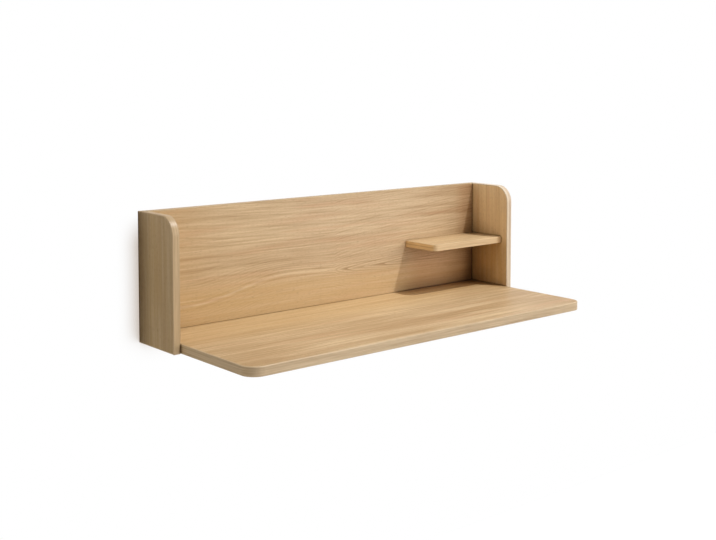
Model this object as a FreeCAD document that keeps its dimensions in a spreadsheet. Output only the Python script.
import FreeCAD, Part
import math
import os
import re

import Sketcher

# A wall-hung desk of veneered boards, in millimetres. X runs along its width, +Y into the wall and +Z up. The
# origin is on the wall, at the middle of the width, level with the underside of the desktop and side panels.

SIZES = {
    # The outer form
    "overall_width": 1100,
    "overall_height": 306,
    "side_depth": 154,
    "side_corner_radius": 45,
    "desktop_depth": 425,
    "desktop_corner_radius": 35,
    # The shelf: its reach from the right side panel and from the back panel, and its height above the desktop
    "shelf_length": 263,
    "shelf_depth": 114,
    "shelf_clearance": 122,
    "shelf_corner_radius": 15,
    # The boards and the gap left at each joint between two of them
    "side_thickness": 18,
    "back_thickness": 18,
    "desktop_thickness": 22,
    "shelf_thickness": 18,
    "joint_gap": 0.3,
    "eased_edge": 1,
    # The bands on the boards' edges, and how round their outer edges are
    "band_thickness": 2,
    "edge_round": 1.5,
    "desktop_band_thickness": 3,
    "desktop_edge_round": 2,
    # Wooden dowels
    "dowel_diameter": 8,
    "dowel_length": 30,
    "dowel_in_face": 11,
    "dowel_chamfer": 1,
    "dowel_play": 0.1,
    "dowel_end_play": 1,
    # Cam bolts: threaded into one board's face, with a headed shank that runs into the next board
    "bolt_thread_diameter": 5,
    "bolt_thread_length": 11,
    "bolt_thread_play": 0.1,
    "bolt_shank_diameter": 6.5,
    "bolt_neck_diameter": 4,
    "bolt_neck_length": 5,
    "bolt_head_length": 3,
    "bolt_past_centre": 1.5,
    "bolt_bore_play": 0.75,
    # Cam locks: discs let into a board's face, which pull on the heads of the cam bolts
    "cam_diameter": 15,
    "cam_from_edge": 24,
    "cam_past_bolt": 4,
    "cam_play": 0.1,
    "cam_end_play": 0.5,
    "cam_slot_play": 0.3,
    "cam_cross_length": 6.5,
    "cam_cross_width": 1.4,
    "cam_cross_depth": 2,
    # Where the cams and dowels are, from the ends of each joint
    "side_cam_inset_up": 60,
    "side_cam_inset_deep": 36,
    "desktop_cam_inset": 150,
    "shelf_cam_inset": 34,
    "shelf_dowel_inset": 36,
    "shelf_screw_inset": 50,
    "dowel_place_share": 0.33,
    "desktop_dowel_share": 0.5,
    # Screws through the back panel into the shelf
    "shelf_screw_diameter": 4.5,
    "shelf_screw_length": 50,
    "shelf_screw_head": 9,
    "screw_tip_length": 4,
    "screw_play": 0.25,
    # Steel keyhole plates let into the rear of the back panel, and their screws
    "hanging_inset": 100,
    "hanging_drop": 50,
    "plate_width": 60,
    "plate_height": 38,
    "plate_thickness": 2,
    "plate_corner_radius": 4,
    "plate_play": 0.25,
    "keyhole_entry_diameter": 11,
    "keyhole_slot_width": 5.5,
    "keyhole_travel": 12,
    "relief_margin": 1.5,
    "relief_depth": 9,
    "plate_screw_inset": 8,
    "plate_screw_diameter": 3.5,
    "plate_screw_length": 12,
    "plate_screw_head": 7,
    # How far a cut runs past the face that it opens
    "cut_overrun": 1,
}

# Places that several pieces share
BOARD_END = "(overall_width / 2 - side_thickness - joint_gap)"
SIDE_FACE = "(overall_width / 2 - side_thickness)"
BACK_BOTTOM = "(desktop_thickness + joint_gap)"
BACK_TOP = "(overall_height - band_thickness)"
BACK_MIDDLE = "(-back_thickness / 2)"
DESKTOP_MIDDLE = "(desktop_thickness / 2)"
SHELF_BOTTOM = "(desktop_thickness + shelf_clearance)"
SHELF_MIDDLE = "(desktop_thickness + shelf_clearance + shelf_thickness / 2)"
SHELF_REAR = "(-back_thickness - joint_gap)"
CAM_REACH = "(joint_gap + cam_from_edge)"
KEYHOLE_X = "(overall_width / 2 - hanging_inset)"
KEYHOLE_Z = "(overall_height - hanging_drop)"

UP = FreeCAD.Vector(0, 0, 1)
DOWN = FreeCAD.Vector(0, 0, -1)
RIGHT = FreeCAD.Vector(1, 0, 0)
LEFT = FreeCAD.Vector(-1, 0, 0)
TO_WALL = FreeCAD.Vector(0, 1, 0)
TO_USER = FreeCAD.Vector(0, -1, 0)

# The points of a line or arc in a sketch, and the sketch's own axes
START, END, CENTRE = range(1, 4)
LEVEL_AXIS, UPRIGHT_AXIS = range(-1, -3, -1)

# The way each origin plane faces
NORMALS = {"XY_Plane": UP, "XZ_Plane": TO_USER, "YZ_Plane": RIGHT}

doc = FreeCAD.newDocument("WallDesk")
sheet = doc.addObject("Spreadsheet::Sheet", "Sizes")
for row, (alias, size) in enumerate(SIZES.items(), 1):
    sheet.set(f"A{row}", alias)
    sheet.set(f"B{row}", str(size))
    sheet.setAlias(f"B{row}", alias)
doc.recompute()

sub_parts = []


def bound(text):
    """The expression, with each size in it read from the sheet."""
    return re.sub(r"[a-z]\w*", r"Sizes.\g<0>", text)


def value(text):
    """What an expression comes to now."""
    return float(sheet.evalExpression(bound(text)))


def between(start, end, share):
    """The place that lies a share of the way from start to end."""
    return f"({start} + {share} * ({end} - {start}))"


def place(item, x="0", y="0", z="0"):
    """Binds where an object is."""
    for axis, text in zip("xyz", (x, y, z)):
        if text != "0":
            item.setExpression(f".Placement.Base.{axis}", bound(text))


def new_body(label):
    body = doc.addObject("PartDesign::Body", label)
    body.Label = label
    return body


def new_sub_part(label):
    """A body that is one of the desk's pieces."""
    body = new_body(label)
    sub_parts.append(body)
    return body


# Sketches


def new_sketch(body, name, plane, level="0"):
    """A sketch on a plane that lies level with that place along its own axis."""
    sketch = body.newObject("Sketcher::SketchObject", name)
    support = next(item for item in body.Origin.OriginFeatures if item.Role == plane)
    sketch.AttachmentSupport = (support, [""])
    sketch.MapMode = "FlatFace"
    if level != "0":
        faces_back = sum(NORMALS[plane]) < 0
        sketch.setExpression("AttachmentOffset.Base.z", bound(f"-({level})" if faces_back else level))
    return sketch


def measure(sketch, text, kind, *points):
    """A dimension bound to an expression."""
    index = sketch.addConstraint(Sketcher.Constraint(kind, *points, value(text)))
    sketch.setExpression(f"Constraints[{index}]", bound(text))


def pin(sketch, geometry, point, x, y):
    """Ties a point to its place."""
    for kind, axis, text in (("DistanceX", UPRIGHT_AXIS, x), ("DistanceY", LEVEL_AXIS, y)):
        if text == "0":
            sketch.addConstraint(Sketcher.Constraint("PointOnObject", geometry, point, axis))
        else:
            measure(sketch, text, kind, LEVEL_AXIS, START, geometry, point)


def add_circles(sketch, centres, diameter):
    for x, y in centres:
        centre = FreeCAD.Vector(value(x), value(y), 0)
        circle = sketch.addGeometry(Part.Circle(centre, UP, value(diameter) / 2))
        pin(sketch, circle, CENTRE, x, y)
        measure(sketch, diameter, "Diameter", circle)


def add_round_corner(sketch, corner, vertex, way_in, way_out):
    """The arc at a square corner (x, y, radius). Returns the arc and its first and last points along the line."""
    x, y, radius = corner
    reach = way_out - way_in
    size = value(radius)
    centre = vertex + reach * size
    begin, finish = vertex - way_in * size - centre, vertex + way_out * size - centre
    left_turn = way_in.cross(way_out).z > 0
    first, last = (begin, finish) if left_turn else (finish, begin)
    angles = [math.atan2(arm.y, arm.x) for arm in (first, last)]
    arc = sketch.addGeometry(Part.ArcOfCircle(Part.Circle(centre, UP, size), *angles))
    measure(sketch, radius, "Radius", arc)
    centre_x = f"{x} + ({radius})" if reach.x > 0 else f"{x} - ({radius})"
    centre_y = f"{y} + ({radius})" if reach.y > 0 else f"{y} - ({radius})"
    pin(sketch, arc, CENTRE, centre_x, centre_y)
    return arc, *((START, END) if left_turn else (END, START))


def add_chain(sketch, corners, closed=True):
    """Lines from corner to corner, each (x, y), or (x, y, radius) for a square corner that is rounded."""
    count = len(corners)
    vertices = [FreeCAD.Vector(value(x), value(y), 0) for x, y, *_ in corners]
    spans = range(count if closed else count - 1)
    ways = [(vertices[(i + 1) % count] - vertices[i]).normalize() for i in spans]
    radii = [value(corner[2]) if len(corner) == 3 else 0 for corner in corners]
    lines = []
    for i in spans:
        after = (i + 1) % count
        begin = vertices[i] + ways[i] * radii[i]
        finish = vertices[after] - ways[i] * radii[after]
        lines.append(sketch.addGeometry(Part.LineSegment(begin, finish)))
    for i, corner in enumerate(corners):
        inner = closed or 0 < i < count - 1
        if radii[i]:
            arc, first, last = add_round_corner(sketch, corner, vertices[i], ways[i - 1], ways[i])
            sketch.addConstraint(Sketcher.Constraint("Tangent", lines[i - 1], END, arc, first))
            sketch.addConstraint(Sketcher.Constraint("Tangent", arc, last, lines[i], START))
            continue
        if inner:
            sketch.addConstraint(Sketcher.Constraint("Coincident", lines[i - 1], END, lines[i], START))
        if i < len(lines):
            pin(sketch, lines[i], START, *corner)
        else:
            pin(sketch, lines[-1], END, *corner)


def outline(body, name, plane, corners, level="0"):
    sketch = new_sketch(body, name, plane, level)
    add_chain(sketch, corners)
    return sketch


# Features


def pad(body, name, sketch, length, backwards=False):
    """Thickens an outline, along the plane's normal or against it."""
    feature = body.newObject("PartDesign::Pad", name)
    feature.Profile = sketch
    feature.setExpression("Length", bound(length))
    feature.Reversed = backwards
    return feature


def cut(body, name, sketch, depth, way):
    """Cuts an outline into the body, in a direction that is square to the sketch."""
    feature = body.newObject("PartDesign::Pocket", name)
    feature.Profile = sketch
    feature.setExpression("Length", bound(depth))
    feature.Reversed = way.dot(NORMALS[sketch.AttachmentSupport[0][0].Role]) > 0
    return feature


def drill(body, name, plane, level, centres, diameter, depth, way):
    """Round holes that start level with that place and run in that direction."""
    sketch = new_sketch(body, f"{name}_centres", plane, level)
    add_circles(sketch, centres, diameter)
    return cut(body, name, sketch, depth, way)


def countersink(body, name, centres, diameter, head):
    """Screw holes through a piece from its rear face, at y = 0, each with a cone for the screw's head."""
    sketch = new_sketch(body, f"{name}_centres", "XZ_Plane")
    add_circles(sketch, centres, diameter)
    doc.recompute()
    hole = body.newObject("PartDesign::Hole", name)
    hole.Profile = sketch
    doc.recompute()
    hole.Reversed = True
    hole.DepthType = "ThroughAll"
    hole.setExpression("Diameter", bound(diameter))
    hole.HoleCutType = "Countersink"
    hole.HoleCutCustomValues = True
    hole.setExpression("HoleCutDiameter", bound(head))
    return hole


def sweep(body, name, profile, path):
    feature = body.newObject("PartDesign::AdditivePipe", name)
    feature.Profile = profile
    feature.Spine = (path, [])
    return feature


def turned_piece(label, corners):
    """A piece that is round about its own upright axis, from half of its outline, each corner (radius, height)."""
    body = new_body(label)
    profile = outline(body, f"{label}_half_outline", "XZ_Plane", corners)
    turn = body.newObject("PartDesign::Revolution", f"{label}_turn")
    turn.Profile = profile
    turn.ReferenceAxis = (profile, ["V_Axis"])
    return body


def group(label, model, places):
    """Copies of one modelled piece, each at its own place and turned its own way, as one of the desk's pieces."""
    links = []
    for number, (x, y, z, turn) in enumerate(places, 1):
        link = doc.addObject("App::Link", f"{label}_{number}")
        link.LinkedObject = model
        link.Placement = FreeCAD.Placement(FreeCAD.Vector(), turn)
        place(link, x, y, z)
        links.append(link)
    gathered = doc.addObject("Part::Compound", label)
    gathered.Label = label
    gathered.Links = links
    sub_parts.append(gathered)
    return gathered


def aimed(way):
    """Turns a piece so that its own +Z points that way."""
    return FreeCAD.Rotation(UP, way)


def cam_turn(outward, to_bolt):
    """Turns a cam lock so that its cross faces out of the board and its mouth faces the bolt."""
    return FreeCAD.Rotation(to_bolt, outward.cross(to_bolt), outward, "ZXY")


# Where the fittings are. Cams come first and last along each joint, and the dowels lie between them.


def with_dowels(first, last):
    """The two cam places of a joint, and the two dowel places between them."""
    dowels = [between(first, last, "dowel_place_share"), between(last, first, "dowel_place_share")]
    return [first, last], dowels


heights = with_dowels("(desktop_thickness + side_cam_inset_up)", "(overall_height - side_cam_inset_up)")
SIDE_CAM_HEIGHTS, SIDE_DOWEL_HEIGHTS = heights
depths = with_dowels("(-side_cam_inset_deep)", "(side_cam_inset_deep - side_depth)")
SIDE_CAM_DEPTHS, SIDE_DOWEL_DEPTHS = depths

DESKTOP_CAM_X = "(overall_width / 2 - desktop_cam_inset)"
DESKTOP_CAM_PLACES = [f"(-{DESKTOP_CAM_X})", "0", DESKTOP_CAM_X]
DESKTOP_DOWEL_PLACES = [f"(-desktop_dowel_share * {DESKTOP_CAM_X})", f"(desktop_dowel_share * {DESKTOP_CAM_X})"]

# Places on the shelf, from its rear right corner
shelf_places = with_dowels("(-shelf_screw_inset)", "(shelf_screw_inset - shelf_length)")
SHELF_SCREW_PLACES, SHELF_DOWEL_PLACES = shelf_places
SHELF_CAM_DEPTH = "(-shelf_cam_inset)"
SHELF_SIDE_DOWEL_DEPTH = "(shelf_dowel_inset - shelf_depth)"

# Sizes that the holes share
DOWEL_HOLE = "dowel_diameter + dowel_play * 2"
DOWEL_FACE_DEPTH = "dowel_in_face + dowel_end_play"
DOWEL_EDGE_DEPTH = "dowel_length - dowel_in_face - joint_gap + dowel_end_play"
THREAD_HOLE = "bolt_thread_diameter + bolt_thread_play * 2"
THREAD_DEPTH = "bolt_thread_length + dowel_end_play"
BOLT_BORE = "bolt_shank_diameter + bolt_bore_play * 2"
CAM_HOUSING = "cam_diameter + cam_play * 2"


def cam_depth(thickness):
    """How deep a cam lock reaches into a board of that thickness: past the bolt, which lies in mid-board."""
    return f"({thickness} / 2 + cam_past_bolt)"


def side_panel(side, left_face, inner_face, way_out):
    """One end of the desk, with its edge bands: a board with a large rounded corner at its top front."""
    board = new_sub_part(f"{side}_side_panel")
    front, top = "(band_thickness - side_depth)", BACK_TOP
    corners = [
        ("0", "band_thickness"),
        (front, "band_thickness"),
        (front, top, "side_corner_radius - band_thickness"),
        ("0", top),
    ]
    face = outline(board, f"{side}_side_outline", "YZ_Plane", corners)
    pad(board, f"{side}_side_board", face, "side_thickness")

    dowels = [(BACK_MIDDLE, z) for z in SIDE_DOWEL_HEIGHTS] + [(y, DESKTOP_MIDDLE) for y in SIDE_DOWEL_DEPTHS]
    threads = [(BACK_MIDDLE, z) for z in SIDE_CAM_HEIGHTS] + [(y, DESKTOP_MIDDLE) for y in SIDE_CAM_DEPTHS]
    if side == "right":
        dowels.append((f"({SHELF_REAR} + {SHELF_SIDE_DOWEL_DEPTH})", SHELF_MIDDLE))
        threads.append((f"({SHELF_REAR} + {SHELF_CAM_DEPTH})", SHELF_MIDDLE))
    holes = "YZ_Plane", inner_face
    drill(board, f"{side}_side_dowel_holes", *holes, dowels, DOWEL_HOLE, DOWEL_FACE_DEPTH, way_out)
    drill(board, f"{side}_side_thread_holes", *holes, threads, THREAD_HOLE, THREAD_DEPTH, way_out)

    # One strip runs along the top, round the corner and down the front
    band = new_sub_part(f"{side}_side_band")
    profile_corners = [
        ("0", top),
        ("side_thickness", top),
        ("side_thickness", "overall_height", "edge_round"),
        ("0", "overall_height", "edge_round"),
    ]
    profile = outline(band, f"{side}_side_band_profile", "XZ_Plane", profile_corners)
    path = new_sketch(band, f"{side}_side_band_path", "YZ_Plane")
    path_corners = [
        ("0", "overall_height"),
        ("(-side_depth)", "overall_height", "side_corner_radius"),
        ("(-side_depth)", "0"),
    ]
    add_chain(path, path_corners, closed=False)
    sweep(band, f"{side}_side_band_strip", profile, path)

    # A second strip closes the lower edge, behind the first
    foot = new_sub_part(f"{side}_side_bottom_band")
    foot_corners = [
        ("0", "0", "edge_round"),
        ("side_thickness", "0", "edge_round"),
        ("side_thickness", "band_thickness"),
        ("0", "band_thickness"),
    ]
    foot_profile = outline(foot, f"{side}_side_bottom_profile", "XZ_Plane", foot_corners)
    pad(foot, f"{side}_side_bottom_strip", foot_profile, "side_depth - band_thickness")

    for piece in (board, band, foot):
        place(piece, x=left_face)


def edged_board(label, left, right, depth, thickness, radius, band_thickness, edge_round, right_shows=True):
    """A level board with rounded front corners, and the strip round its left and front edges.

    Where its right edge shows, the strip goes on round it. Otherwise that end is left square.
    """
    board = new_sub_part(label)
    inner = f"{radius} - {band_thickness}"
    board_right = f"({right} - {band_thickness})" if right_shows else right
    corners = [
        (f"({left} + {band_thickness})", "0"),
        (f"({left} + {band_thickness})", f"({band_thickness} - {depth})", inner),
        (board_right, f"({band_thickness} - {depth})", *([inner] if right_shows else [])),
        (board_right, "0"),
    ]
    pad(board, f"{label}_board", outline(board, f"{label}_outline", "XY_Plane", corners), thickness)

    band = new_sub_part(f"{label}_band")
    profile_corners = [
        (left, "0", edge_round),
        (f"({left} + {band_thickness})", "0"),
        (f"({left} + {band_thickness})", thickness),
        (left, thickness, edge_round),
    ]
    profile = outline(band, f"{label}_band_profile", "XZ_Plane", profile_corners)
    path = new_sketch(band, f"{label}_band_path", "XY_Plane")
    path_corners = [
        (left, "0"),
        (left, f"(-{depth})", radius),
    ]
    path_corners += [(right, f"(-{depth})", radius), (right, "0")] if right_shows else [(right, f"(-{depth})")]
    add_chain(path, path_corners, closed=False)
    sweep(band, f"{label}_band_strip", profile, path)
    return board, band


def end_joint(label, pieces, end, way_in, cam_depths, dowel_depths, middle, thickness):
    """The drilling in the end of a level board: dowel holes, bolt bores and cam housings from the underside."""
    dowels = [(y, middle) for y in dowel_depths]
    bolts = [(y, middle) for y in cam_depths]
    for piece in pieces:
        name = f"{label}_{piece.Label}"
        drill(piece, f"{name}_dowel_holes", "YZ_Plane", end, dowels, DOWEL_HOLE, DOWEL_EDGE_DEPTH, way_in)
        drill(piece, f"{name}_bolt_bores", "YZ_Plane", end, bolts, BOLT_BORE, "cam_from_edge", way_in)
    cam_x = f"({end} + cam_from_edge)" if way_in == RIGHT else f"({end} - cam_from_edge)"
    housings = [(cam_x, y) for y in cam_depths]
    depth = f"{cam_depth(thickness)} + cam_end_play"
    board = pieces[0]
    drill(board, f"{label}_{board.Label}_cam_housings", "XY_Plane", "0", housings, CAM_HOUSING, depth, UP)


# The side panels

side_panel("left", "(-overall_width / 2)", "side_thickness", LEFT)
side_panel("right", SIDE_FACE, "0", RIGHT)

# The desktop, with holes in its top for the back panel's dowels and bolts

desktop_sizes = [
    "desktop_depth",
    "desktop_thickness",
    "desktop_corner_radius",
    "desktop_band_thickness",
    "desktop_edge_round",
]
desktop, desktop_band = edged_board("desktop", f"(-{BOARD_END})", BOARD_END, *desktop_sizes)
side_joint = SIDE_CAM_DEPTHS, SIDE_DOWEL_DEPTHS, DESKTOP_MIDDLE, "desktop_thickness"
end_joint("left", (desktop, desktop_band), f"(-{BOARD_END})", RIGHT, *side_joint)
end_joint("right", (desktop, desktop_band), BOARD_END, LEFT, *side_joint)
top = "XY_Plane", "desktop_thickness"
back_dowels = [(x, BACK_MIDDLE) for x in DESKTOP_DOWEL_PLACES]
back_threads = [(x, BACK_MIDDLE) for x in DESKTOP_CAM_PLACES]
drill(desktop, "desktop_top_dowel_holes", *top, back_dowels, DOWEL_HOLE, DOWEL_FACE_DEPTH, DOWN)
drill(desktop, "desktop_top_thread_holes", *top, back_threads, THREAD_HOLE, THREAD_DEPTH, DOWN)

# The back panel, which stands on the desktop between the side panels

back = new_sub_part("back_panel")
back_corners = [
    (f"(-{BOARD_END})", BACK_BOTTOM),
    (BOARD_END, BACK_BOTTOM),
    (BOARD_END, BACK_TOP),
    (f"(-{BOARD_END})", BACK_TOP),
]
back_board = pad(back, "back_board", outline(back, "back_outline", "XZ_Plane", back_corners), "back_thickness")
doc.recompute()


def is_eased(edge):
    """Is this one of the board's front edges, other than the one under the top band?"""
    centre = edge.CenterOfMass
    in_front = centre.y < value(f"{BACK_MIDDLE} - eased_edge")
    return in_front and centre.z < value(f"{BACK_TOP} - eased_edge")


front_edges = [f"Edge{n}" for n, edge in enumerate(back_board.Shape.Edges, 1) if is_eased(edge)]
easing = back.newObject("PartDesign::Fillet", "back_eased_edges")
easing.Base = (back_board, front_edges)
easing.setExpression("Radius", bound("eased_edge"))

for side, end, way_in in (("left", f"(-{BOARD_END})", RIGHT), ("right", BOARD_END, LEFT)):
    ends = "YZ_Plane", end
    dowels = [(BACK_MIDDLE, z) for z in SIDE_DOWEL_HEIGHTS]
    bolts = [(BACK_MIDDLE, z) for z in SIDE_CAM_HEIGHTS]
    drill(back, f"back_{side}_dowel_holes", *ends, dowels, DOWEL_HOLE, DOWEL_EDGE_DEPTH, way_in)
    drill(back, f"back_{side}_bolt_bores", *ends, bolts, BOLT_BORE, "cam_from_edge", way_in)

bottom = "XY_Plane", BACK_BOTTOM
drill(back, "back_bottom_dowel_holes", *bottom, back_dowels, DOWEL_HOLE, DOWEL_EDGE_DEPTH, UP)
drill(back, "back_bottom_bolt_bores", *bottom, back_threads, BOLT_BORE, "cam_from_edge", UP)

side_cam_x = f"({BOARD_END} - cam_from_edge)"
bottom_cam_z = f"({BACK_BOTTOM} + cam_from_edge)"
housings = [(x, z) for x in (f"(-{side_cam_x})", side_cam_x) for z in SIDE_CAM_HEIGHTS]
housings += [(x, bottom_cam_z) for x in DESKTOP_CAM_PLACES]
housing_depth = f"{cam_depth('back_thickness')} + cam_end_play"
drill(back, "back_cam_housings", "XZ_Plane", "0", housings, CAM_HOUSING, housing_depth, TO_USER)

# The shelf is screwed on from behind, and located by dowels in the back panel's face
shelf_dowels_in_back = [(f"({SIDE_FACE} + {x})", SHELF_MIDDLE) for x in SHELF_DOWEL_PLACES]
shelf_screws_in_back = [(f"({SIDE_FACE} + {x})", SHELF_MIDDLE) for x in SHELF_SCREW_PLACES]
front_face = "XZ_Plane", "(-back_thickness)"
drill(back, "back_shelf_dowel_holes", *front_face, shelf_dowels_in_back, DOWEL_HOLE, DOWEL_FACE_DEPTH, TO_WALL)
shelf_screw_hole = "shelf_screw_diameter + screw_play * 2"
countersink(back, "back_shelf_screw_holes", shelf_screws_in_back, shelf_screw_hole, "shelf_screw_head + screw_play * 2")

# Two recesses take the keyhole plates, and deeper ones behind them take the heads of the wall screws

PLATE_HALF_WIDTH = "plate_width / 2"
PLATE_LOW = "(keyhole_travel - plate_height) / 2"
PLATE_HIGH = "(keyhole_travel + plate_height) / 2"


def plate_outline(x, z, play):
    """The corners of a keyhole plate whose entry hole is at x, z, made larger all round by the play."""
    left, right = f"({x} - {PLATE_HALF_WIDTH} - {play})", f"({x} + {PLATE_HALF_WIDTH} + {play})"
    low, high = f"({z} + {PLATE_LOW} - {play})", f"({z} + {PLATE_HIGH} + {play})"
    radius = f"plate_corner_radius + {play}"
    return [(left, low, radius), (right, low, radius), (right, high, radius), (left, high, radius)]


def relief_outline(x, z):
    """The corners of the space behind a keyhole, wide enough for a screw's head."""
    reach = "(keyhole_entry_diameter / 2 + relief_margin)"
    left, right = f"({x} - {reach})", f"({x} + {reach})"
    low, high = f"({z} - {reach})", f"({z} + keyhole_travel + {reach})"
    radius = "keyhole_entry_diameter / 2"
    return [(left, low, radius), (right, low, radius), (right, high, radius), (left, high, radius)]


def plate_screw_places(x, z):
    across, up = "(plate_width / 2 - plate_screw_inset)", "(plate_height / 2 - plate_screw_inset)"
    middle = f"({z} + keyhole_travel / 2)"
    return [(f"({x} {i} {across})", f"({middle} {j} {up})") for i in "-+" for j in "-+"]


KEYHOLES = {"left": f"(-{KEYHOLE_X})", "right": KEYHOLE_X}
for side, x in KEYHOLES.items():
    recess = outline(back, f"{side}_plate_recess_outline", "XZ_Plane", plate_outline(x, KEYHOLE_Z, "plate_play"))
    cut(back, f"{side}_plate_recess", recess, "plate_thickness", TO_USER)
    relief = outline(back, f"{side}_relief_outline", "XZ_Plane", relief_outline(x, KEYHOLE_Z))
    cut(back, f"{side}_relief", relief, "relief_depth", TO_USER)
    pilots = "XZ_Plane", "0", plate_screw_places(x, KEYHOLE_Z)
    pilot_hole = "plate_screw_diameter + screw_play * 2"
    drill(back, f"{side}_plate_pilot_holes", *pilots, pilot_hole, "plate_screw_length + cut_overrun", TO_USER)

top_band = new_sub_part("back_panel_top_band")
top_band_corners = [
    ("(-back_thickness)", BACK_TOP),
    ("0", BACK_TOP),
    ("0", "overall_height", "edge_round"),
    ("(-back_thickness)", "overall_height", "edge_round"),
]
top_band_profile = outline(top_band, "top_band_profile", "YZ_Plane", top_band_corners, f"(-{BOARD_END})")
pad(top_band, "top_band_strip", top_band_profile, f"{BOARD_END} * 2")

# The shelf, drawn from its rear right corner. Its right end is square, against the right side panel.

shelf_sizes = [
    "(shelf_depth - joint_gap)",
    "shelf_thickness",
    "shelf_corner_radius",
    "band_thickness",
    "edge_round",
]
shelf, shelf_band = edged_board("shelf", "(joint_gap - shelf_length)", "0", *shelf_sizes, right_shows=False)
shelf_joint = [SHELF_CAM_DEPTH], [SHELF_SIDE_DOWEL_DEPTH], "(shelf_thickness / 2)", "shelf_thickness"
end_joint("side", (shelf,), "0", LEFT, *shelf_joint)
rear_edge = "XZ_Plane", "0"
shelf_edge_dowels = [(f"({x} + joint_gap)", "(shelf_thickness / 2)") for x in SHELF_DOWEL_PLACES]
shelf_edge_screws = [(f"({x} + joint_gap)", "(shelf_thickness / 2)") for x in SHELF_SCREW_PLACES]
screw_depth = "shelf_screw_length - back_thickness"
drill(shelf, "shelf_rear_dowel_holes", *rear_edge, shelf_edge_dowels, DOWEL_HOLE, DOWEL_EDGE_DEPTH, TO_USER)
drill(shelf, "shelf_rear_pilot_holes", *rear_edge, shelf_edge_screws, shelf_screw_hole, screw_depth, TO_USER)
for piece in (shelf, shelf_band):
    place(piece, BOARD_END, SHELF_REAR, SHELF_BOTTOM)

# The keyhole plates: a desk hung on two wall screws drops until their shanks reach the tops of the slots

for side, x in KEYHOLES.items():
    plate = new_sub_part(f"{side}_hanging_plate")
    sheet_metal = outline(plate, f"{side}_plate_outline", "XZ_Plane", plate_outline("0", "0", "0"))
    pad(plate, f"{side}_plate", sheet_metal, "plate_thickness")
    rear = "XZ_Plane", "0"
    through = "plate_thickness + cut_overrun", TO_USER
    drill(plate, f"{side}_keyhole_entry", *rear, [("0", "0")], "keyhole_entry_diameter", *through)
    drill(plate, f"{side}_keyhole_top", *rear, [("0", "keyhole_travel")], "keyhole_slot_width", *through)
    slot_corners = [
        ("(-keyhole_slot_width / 2)", "0"),
        ("(keyhole_slot_width / 2)", "0"),
        ("(keyhole_slot_width / 2)", "keyhole_travel"),
        ("(-keyhole_slot_width / 2)", "keyhole_travel"),
    ]
    cut(plate, f"{side}_keyhole_slot", outline(plate, f"{side}_slot_outline", "XZ_Plane", slot_corners), *through)
    screw_hole, head_hole = pilot_hole, "plate_screw_head + screw_play * 2"
    countersink(plate, f"{side}_plate_screw_holes", plate_screw_places("0", "0"), screw_hole, head_hole)
    place(plate, x=x, z=KEYHOLE_Z)

# The fittings, each modelled once about its own axis

dowel_low, dowel_high = "(-dowel_in_face)", "(dowel_length - dowel_in_face)"
dowel_radius = "dowel_diameter / 2"
dowel_corners = [
    ("0", dowel_low),
    (f"{dowel_radius} - dowel_chamfer", dowel_low),
    (dowel_radius, f"{dowel_low} + dowel_chamfer"),
    (dowel_radius, f"{dowel_high} - dowel_chamfer"),
    (f"{dowel_radius} - dowel_chamfer", dowel_high),
    ("0", dowel_high),
]
dowel = turned_piece("dowel_model", dowel_corners)

bolt_end = f"({CAM_REACH} + bolt_past_centre)"
head_start = f"({bolt_end} - bolt_head_length)"
neck_start = f"({head_start} - bolt_neck_length)"
bolt_corners = [
    ("0", "(-bolt_thread_length)"),
    ("bolt_thread_diameter / 2", "(-bolt_thread_length)"),
    ("bolt_thread_diameter / 2", "0"),
    ("bolt_shank_diameter / 2", "0"),
    ("bolt_shank_diameter / 2", neck_start),
    ("bolt_neck_diameter / 2", neck_start),
    ("bolt_neck_diameter / 2", head_start),
    ("bolt_shank_diameter / 2", head_start),
    ("bolt_shank_diameter / 2", bolt_end),
    ("0", bolt_end),
]
cam_bolt = turned_piece("cam_bolt_model", bolt_corners)


def screw(label, diameter, length, head):
    """A countersunk screw, its flat head at the origin and its point downwards."""
    corners = [
        ("0", "0"),
        (f"{head} / 2", "0"),
        (f"{diameter} / 2", f"({diameter} - {head}) / 2"),
        (f"{diameter} / 2", f"screw_tip_length - {length}"),
        ("0", f"(-{length})"),
    ]
    return turned_piece(label, corners)


shelf_screw = screw("shelf_screw_model", "shelf_screw_diameter", "shelf_screw_length", "shelf_screw_head")
plate_screw = screw("plate_screw_model", "plate_screw_diameter", "plate_screw_length", "plate_screw_head")


def cam_lock(label, thickness):
    """A cam lock for a board of that thickness: a disc under the board's face, with a mouth for the bolt's head."""
    body = new_body(label)
    disc = new_sketch(body, f"{label}_disc_outline", "XY_Plane")
    add_circles(disc, [("0", "0")], "cam_diameter")
    pad(body, f"{label}_disc", disc, cam_depth(thickness), backwards=True)
    reach = "(bolt_past_centre + cam_slot_play)"
    half_width = "(bolt_shank_diameter / 2 + cam_slot_play)"
    rim = "(cam_diameter / 2 + cut_overrun)"
    mouth_corners = [
        (f"(-{reach})", f"(-{half_width})"),
        (rim, f"(-{half_width})"),
        (rim, half_width),
        (f"(-{reach})", half_width),
    ]
    roof = f"({half_width} - {thickness} / 2)"
    mouth = outline(body, f"{label}_mouth_outline", "XY_Plane", mouth_corners, roof)
    cut(body, f"{label}_mouth", mouth, f"{half_width} + cam_past_bolt + cut_overrun", DOWN)
    arm, half = "(cam_cross_length / 2)", "(cam_cross_width / 2)"
    slots = [
        (f"{label}_cross_long", arm, half),
        (f"{label}_cross_short", half, arm),
    ]
    for name, x, y in slots:
        corners = [(f"(-{x})", f"(-{y})"), (x, f"(-{y})"), (x, y), (f"(-{x})", y)]
        cut(body, name, outline(body, f"{name}_outline", "XY_Plane", corners), "cam_cross_depth", DOWN)
    return body


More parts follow.
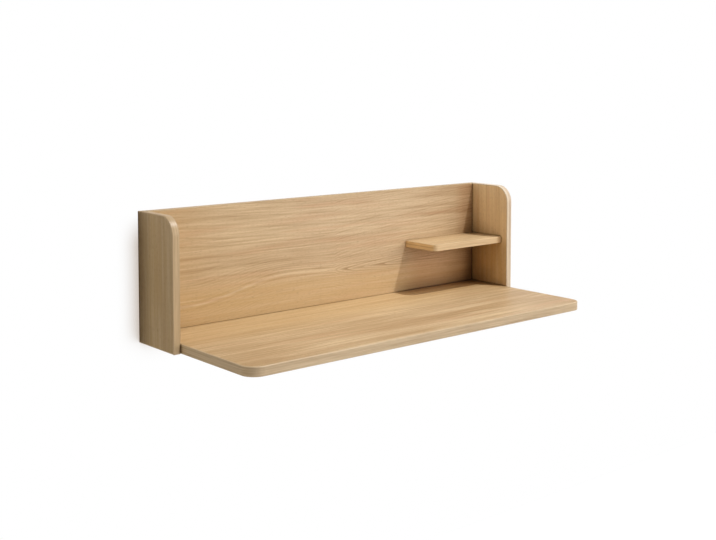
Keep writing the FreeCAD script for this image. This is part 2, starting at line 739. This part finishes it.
back_cam = cam_lock("back_cam_model", "back_thickness")
desktop_cam = cam_lock("desktop_cam_model", "desktop_thickness")
shelf_cam = cam_lock("shelf_cam_model", "shelf_thickness")

# The joints between the side panels and the boards that meet them

for side, sign, way_in, way_out in (("left", "-", RIGHT, LEFT), ("right", "", LEFT, RIGHT)):
    face = f"({sign}{SIDE_FACE})"
    cam_x = f"({sign}({SIDE_FACE} - {CAM_REACH}))"
    inward = aimed(way_in)
    dowels = [(face, BACK_MIDDLE, z, inward) for z in SIDE_DOWEL_HEIGHTS]
    dowels += [(face, y, DESKTOP_MIDDLE, inward) for y in SIDE_DOWEL_DEPTHS]
    bolts = [(face, BACK_MIDDLE, z, inward) for z in SIDE_CAM_HEIGHTS]
    bolts += [(face, y, DESKTOP_MIDDLE, inward) for y in SIDE_CAM_DEPTHS]
    rear_cams = [(cam_x, "0", z, cam_turn(TO_WALL, way_out)) for z in SIDE_CAM_HEIGHTS]
    under_cams = [(cam_x, y, "0", cam_turn(DOWN, way_out)) for y in SIDE_CAM_DEPTHS]
    group(f"{side}_side_dowels", dowel, dowels)
    group(f"{side}_side_cam_bolts", cam_bolt, bolts)
    group(f"{side}_back_cams", back_cam, rear_cams)
    group(f"{side}_desktop_cams", desktop_cam, under_cams)

# The joint between the back panel and the desktop

upward = aimed(UP)
cam_height = f"(desktop_thickness + {CAM_REACH})"
back_cam_turn = cam_turn(TO_WALL, DOWN)
desk_top = "desktop_thickness"
group("back_desktop_dowels", dowel, [(x, BACK_MIDDLE, desk_top, upward) for x in DESKTOP_DOWEL_PLACES])
group("back_desktop_cam_bolts", cam_bolt, [(x, BACK_MIDDLE, desk_top, upward) for x in DESKTOP_CAM_PLACES])
group("back_desktop_cams", back_cam, [(x, "0", cam_height, back_cam_turn) for x in DESKTOP_CAM_PLACES])

# The joints of the shelf

forward, leftward = aimed(TO_USER), aimed(LEFT)
dowels = [(f"({SIDE_FACE} + {x})", "(-back_thickness)", SHELF_MIDDLE, forward) for x in SHELF_DOWEL_PLACES]
dowels.append((SIDE_FACE, f"({SHELF_REAR} + {SHELF_SIDE_DOWEL_DEPTH})", SHELF_MIDDLE, leftward))
cam_y = f"({SHELF_REAR} + {SHELF_CAM_DEPTH})"
shelf_cam_place = f"({SIDE_FACE} - {CAM_REACH})", cam_y, SHELF_BOTTOM, cam_turn(DOWN, RIGHT)
outward = aimed(TO_WALL)
screws = [(f"({SIDE_FACE} + {x})", "0", SHELF_MIDDLE, outward) for x in SHELF_SCREW_PLACES]
group("shelf_dowels", dowel, dowels)
group("shelf_cam_bolt", cam_bolt, [(SIDE_FACE, cam_y, SHELF_MIDDLE, leftward)])
group("shelf_cam", shelf_cam, [shelf_cam_place])
group("shelf_screws", shelf_screw, screws)

# The screws of the keyhole plates

for side, x in KEYHOLES.items():
    places = [(px, "0", pz, outward) for px, pz in plate_screw_places(x, KEYHOLE_Z)]
    group(f"{side}_plate_screws", plate_screw, places)

# Nothing is written unless every object is sound and every cut took something away

doc.recompute()
for item in doc.Objects:
    if "Invalid" in item.State or "Error" in item.State:
        raise RuntimeError(f"{item.Label} failed: {item.State}")
    if item.TypeId in ("PartDesign::Pocket", "PartDesign::Hole"):
        if item.Shape.Volume >= item.BaseFeature.Shape.Volume:
            raise RuntimeError(f"{item.Label} cuts nothing")
for item in sub_parts:
    if item.Shape.isNull() or not item.Shape.isValid():
        raise RuntimeError(f"{item.Label} has no valid shape")

os.makedirs("parts", exist_ok=True)
for item in sub_parts:
    item.Shape.exportStep(f"parts/{item.Label}.step")
print(f"{len(sub_parts)} sub-parts, {sum(len(item.Shape.Solids) for item in sub_parts)} solids")
